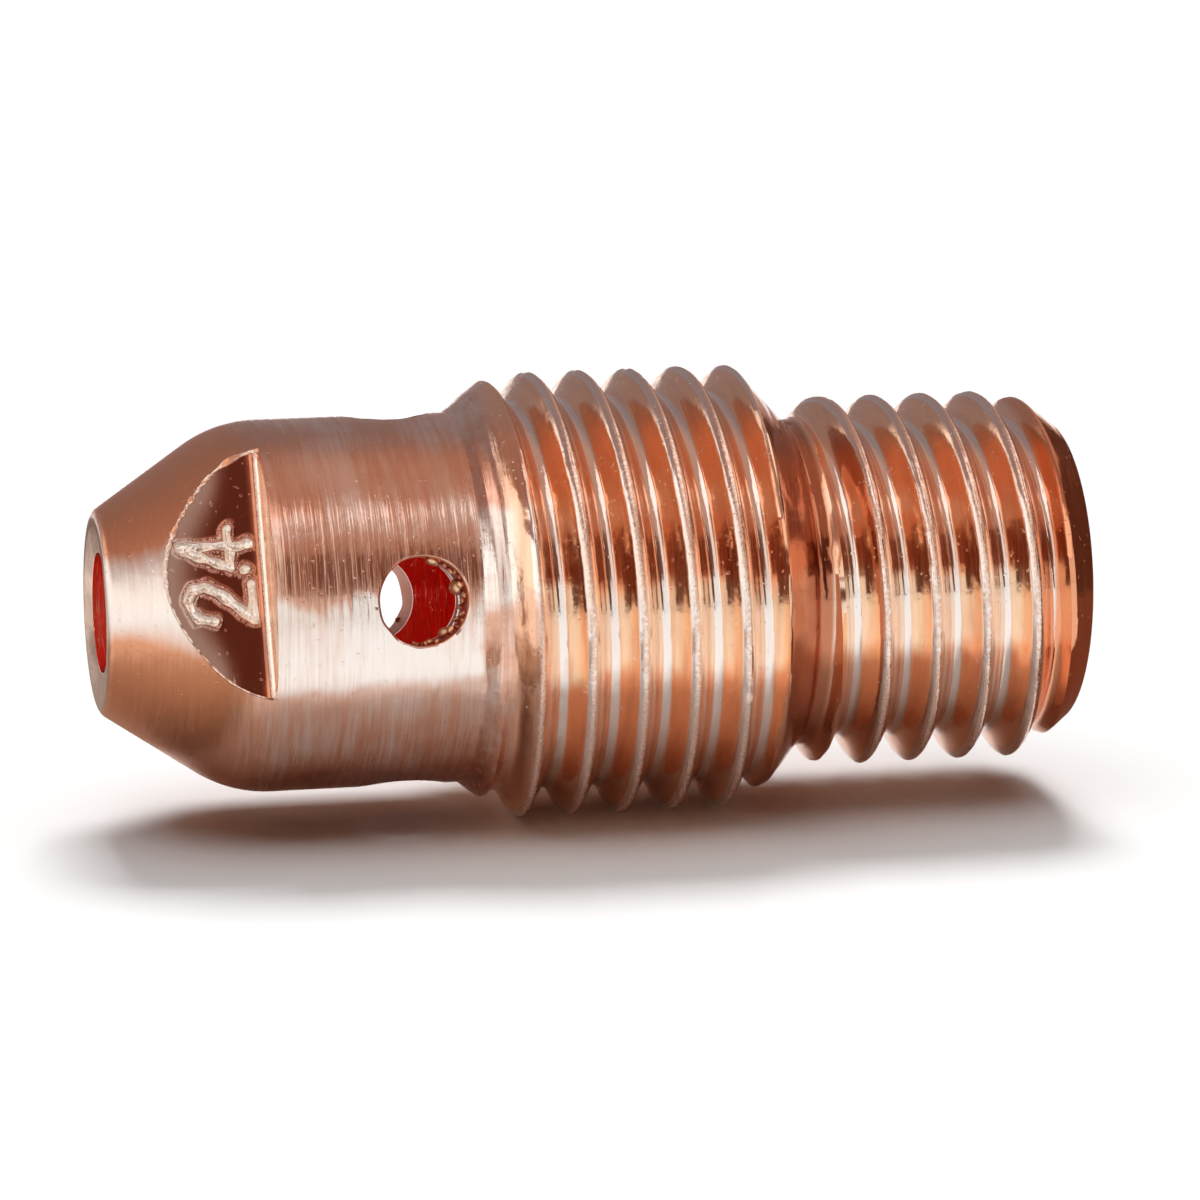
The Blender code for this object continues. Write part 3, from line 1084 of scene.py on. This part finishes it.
    # painted sheen on the flanks: paler flank colours where the front side stands in for a reflection
    sheenFlankColour = desk.blend('RGBA', desk.spread(below, *zones["footDepth"]),
                          finish["sheenFlank"], finish["sheenFootFlank"])
    flank = desk.blend('RGBA', paintedSheen, finish["flank"], sheenFlankColour)
    flank = desk.blend('RGBA', desk.spread(coarse, *zones["flankStain"]), flank, finish["tarnish"])
    flank = desk.blend('RGBA', desk.times(specks, zones["speckShine"]), flank, finish["barrel"])
    colour = desk.blend('RGBA', onFlank, colour, flank)
    rough = desk.spread(fine, *zones["roughStreaks"], *finish["barrelRough"])
    rough = desk.blend('FLOAT', onNose, rough, finish["noseRough"])
    threadRough = desk.spread(fine, *zones["roughStreaks"], *finish["threadRough"])
    rough = desk.blend('FLOAT', onThread, rough, threadRough)
    spotted = desk.spread(mottle, *zones["mottleSpots"])
    rough = desk.plus(rough, desk.times(spotted, zones["mottleRough"]))
    worn = desk.times(onCrest, desk.spread(grain, *zones["crestWorn"]))
    layers = (("lip", onLip), ("lipGleam", lipGleam), ("crest", worn), ("neck", neckShade), ("rear", onRear),
              ("bore", inBore), ("port", inPort), ("crumb", onCrumb), ("flat", onFlat),
              ("flatHaze", flatHaze), ("flatStepReflection", flatStepReflection), ("flatStep", onStep), ("burr", onBurr),
              ("stamp", inStamp))
    for name, mask in layers:
        colour = desk.blend('RGBA', mask, colour, finish[name])
        if name + "Rough" in finish:
            rough = desk.blend('FLOAT', mask, rough, finish[name + "Rough"])
    desk.set(shader.inputs["Base Color"], colour)
    desk.set(shader.inputs["Roughness"], rough)

    # tool marks and grain, as bump
    marks = desk.plus(fine, desk.times(coarse, finish["coarseMarks"]))
    marks = desk.times(marks, desk.blend('FLOAT', onThread, 1.0, finish["threadMarks"]))
    marks = desk.plus(marks, desk.times(patches, finish["waves"]))
    marks = desk.times(marks, desk.blend('FLOAT', onFlat, 1.0, finish["flatMarks"]))
    marks = desk.plus(marks, desk.times(grain, finish["crestGrain"], onCrest))
    marks = desk.plus(marks, desk.times(mottle, finish["leadMarks"]))
    marks = desk.plus(marks, specks)
    bump = nodes.new('ShaderNodeBump')
    bump.inputs["Strength"].default_value = 1.0
    bump.inputs["Distance"].default_value = finish["markHeight"]
    desk.set(bump.inputs["Height"], marks)
    desk.set(shader.inputs["Normal"], bump.outputs["Normal"])
    print("copper made:", len(nodes), "nodes")
    return material


collet.data.materials.clear()
collet.data.materials.append(makeCopper())
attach(collet, "root")
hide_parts("collet_body")


# Floor and light

studio = {
    "floorRadius": 0.8,
    "floorSides": 96,
    "floorColour": (0.90, 0.90, 0.90, 1.0),
    "keyAzimuth": -12.0,  # behind the part, towards its threads
    "keyElevation": 60.0,
    "keyDistance": 1.2,
    "keySize": 0.42,
    "keyPower": 11.0,
    "fillHeight": 1.0,
    "fillSize": 1.4,
    "fillPower": 7.0,
    "stripElevation": 68.5,
    "stripDistance": 0.6,
    "stripAlong": -0.17,  # from the middle of the part
    "stripWidth": 0.33,
    "stripLength": 0.50,
    "stripPower": 0.45,
    "bounces": 20,  # of light that runs round the bores and grooves
    "room": (0.53, 0.33, 0.26, 1.0),
    "roomBack": (0.28, 0.24, 0.25, 1.0),
    "backDirection": (-0.30, 0.83, 0.47),
    "backEdge": (0.56, 0.93),  # cosines of the angle from that direction
    "roomDark": (0.19, 0.075, 0.05, 1.0),
    "darkHeight": (0.33, 0.62, 0.07),  # bands of sines, above the horizon or to the side, and softness
    "darkSide": (0.0, 0.14),
    "roomLeft": (0.33, 0.21, 0.19, 1.0),
    "leftSide": (-0.62, -0.48),
    "leftHeight": (0.42, 0.55),
    "glow": (0.98, 0.88, 0.80, 1.0),
    "glowSide": (-0.45, -0.02, 0.07),
    "glowHeight": (0.31, 0.70, 0.07),
    "front": (0.94, 0.92, 0.90, 1.0),
    "frontHeight": (0.24, 0.31),
    "frontDepth": (-0.45, -0.25),
    "window": (1.25, 1.22, 1.18, 1.0),
    "windowHeight": (0.0, 0.42, 0.06),
    "windowSide": (-0.72, -0.60),
    "flag": (0.13, 0.05, 0.033, 1.0),
    "flagSide": (0.36, 0.80, 0.05),
    "flagHeight": (0.05, 0.66, 0.06),
    "flagDepth": (-0.1, 0.15),
    "flagMiddle": 0.62,
    "flagSlant": 1.3,
    "sky": (1.2, 1.15, 1.1, 1.0),
    "skySide": (0.66, 0.95, 0.06),
    "skyHeight": (0.50, 0.80, 0.06),
    "cardLift": 0.1,  # off the floor
    "cardColour": (0.17, 0.075, 0.05, 1.0),
    "leftCardColour": (0.42, 0.33, 0.27, 1.0),
    "lipCardColour": (0.95, 0.84, 0.74, 1.0),
    "lipShadeColour": (0.24, 0.15, 0.12, 1.0),
}

# plain cards that only show in the copper: the dark floor cards and the lip shade card lay a painted shade
# on the floor beside the part as the copper sees it, the rear card stands up as a dark flag, and the pale
# lip card puts a highlight on the lip; each gives the end of the part that they lie beside, the colour, and
# corners along, across and up from there, in millimetres
cards = {
    "rearFloorCard": ("rear", "cardColour", ((1, -6, 0), (30, -6, 0), (30, 50, 0), (1, 50, 0))),
    "rearCard": ("rear", "cardColour", ((30, -6, 0), (30, 50, 0), (30, 50, 20), (30, -6, 20))),
    "noseFloorCard": ("nose", "leftCardColour", ((-7, -16, 0), (1, -16, 0), (1, 45, 0),
                                                 (-20, 45, 0), (-20, 2, 0), (-7, 2, 0))),
    "lipFloorCard": ("nose", "lipCardColour", ((-10.6, 16.0, 0.05), (-6.0, 16.0, 0.05),
                                               (-6.0, 22.0, 0.05), (-10.6, 22.0, 0.05))),
    "lipShadeCard": ("nose", "lipShadeColour", ((-14.0, 25.0, 0.05), (-2.0, 25.0, 0.05),
                                                (-2.0, 44.0, 0.05), (-14.0, 44.0, 0.05))),
}


def mattMaterial(name, colour):
    material = bpy.data.materials.new(name)
    material.use_nodes = True
    shader = material.node_tree.nodes["Principled BSDF"]
    shader.inputs["Base Color"].default_value = colour
    shader.inputs["Roughness"].default_value = 1.0
    shader.inputs["Specular IOR Level"].default_value = 0.0
    return material


def makeFloor():
    sides = studio["floorSides"]
    points = [Vector((math.cos(2 * math.pi * step / sides), math.sin(2 * math.pi * step / sides), 0.0))
              * studio["floorRadius"] + Vector((0.0, 0.0, floorZ)) for step in range(sides)]
    floor = newObject("floor", points, [tuple(range(sides))])
    floor.data.materials.append(mattMaterial("paleFloor", studio["floorColour"]))


def makeLamp(name, spot, aim, width, length, power):
    data = bpy.data.lights.new(name, 'AREA')
    data.shape = 'RECTANGLE'
    data.size = length
    data.size_y = width
    data.energy = power
    lamp = bpy.data.objects.new(name, data)
    lamp.location = spot
    lamp.rotation_mode = 'QUATERNION'
    lamp.rotation_quaternion = (aim - spot).to_track_quat('-Z', 'Y')
    lamp.visible_camera = False
    bpy.context.scene.collection.objects.link(lamp)
    return lamp


def makeWorld():
    # a dim warm room with a pale front and a window on the nose's side
    world = bpy.data.worlds.new("studioRoom")
    bpy.context.scene.world = world
    world.use_nodes = True
    desk = NodeDesk(world.node_tree)
    where = desk.nodes.new('ShaderNodeTexCoord').outputs["Generated"]
    split = desk.nodes.new('ShaderNodeSeparateXYZ')
    desk.set(split.inputs["Vector"], where)
    side, depth, up = split.outputs["X"], split.outputs["Y"], split.outputs["Z"]

    def patch(name):
        return desk.times(desk.band(side, *studio[name + "Side"]), desk.band(up, *studio[name + "Height"]))

    behind = desk.spread(desk.vector('DOT_PRODUCT', where, studio["backDirection"]), *studio["backEdge"])
    front = desk.fade(depth, *studio["frontDepth"])
    left = desk.times(desk.fade(side, *studio["leftSide"]), desk.spread(up, *studio["leftHeight"]))
    dark = desk.times(desk.band(up, *studio["darkHeight"]),
                      desk.times(front, desk.spread(side, *studio["darkSide"])))
    glow = desk.times(front, patch("glow"))
    pale = desk.times(front, desk.fade(up, *studio["frontHeight"]))
    window = desk.times(desk.band(up, *studio["windowHeight"]), desk.fade(side, *studio["windowSide"]))
    slant = desk.times(desk.minus(side, studio["flagMiddle"]), studio["flagSlant"])
    flag = desk.times(desk.band(side, *studio["flagSide"]),
                      desk.band(desk.minus(up, slant), *studio["flagHeight"]),
                      desk.fade(depth, *studio["flagDepth"]))
    colour = studio["room"]
    for name, mask in (("roomBack", behind), ("roomLeft", left), ("roomDark", dark), ("glow", glow),
                       ("front", pale), ("window", window), ("flag", flag), ("sky", patch("sky"))):
        colour = desk.blend('RGBA', mask, colour, studio[name])
    desk.set(desk.nodes["Background"].inputs["Color"], colour)
    world.cycles_visibility.diffuse = False  # the lamps alone light the floor


def makeCards():
    low = floorZ + studio["cardLift"] * mm
    ends = {"nose": noseX, "rear": noseX + overallLength * mm}
    for name, (end, colour, corners) in cards.items():
        points = [Vector((ends[end] + along * mm, across * mm, low + up * mm))
                  for along, across, up in corners]
        card = newObject(name, points, [tuple(range(len(points)))])
        card.data.materials.append(mattMaterial(name, studio[colour]))
        for kind in ("camera", "diffuse", "transmission", "volume_scatter", "shadow"):
            setattr(card, "visible_" + kind, False)


def makeStudio():
    makeFloor()
    makeWorld()
    makeCards()
    middle = axisPoint(overallLength / 2)
    keySpot = middle + heading(studio["keyAzimuth"], studio["keyElevation"]) * studio["keyDistance"]
    key = makeLamp("keyLamp", keySpot, middle, studio["keySize"], studio["keySize"], studio["keyPower"])
    key.visible_glossy = False
    fill = makeLamp("fillLamp", Vector((middle.x, 0.0, studio["fillHeight"])), middle,
                    studio["fillSize"], studio["fillSize"], studio["fillPower"])
    fill.visible_glossy = False
    elevation = math.radians(studio["stripElevation"])
    strip = middle + Vector((0.0, -math.cos(elevation), math.sin(elevation))) * studio["stripDistance"]
    strip.x += studio["stripAlong"]
    makeLamp("stripLamp", strip, middle, studio["stripWidth"], studio["stripLength"], studio["stripPower"])
    print("studio made")


makeStudio()
bpy.context.scene.view_settings.view_transform = 'Standard'
bpy.context.scene.cycles.max_bounces = studio["bounces"]
bpy.context.scene.cycles.glossy_bounces = studio["bounces"]
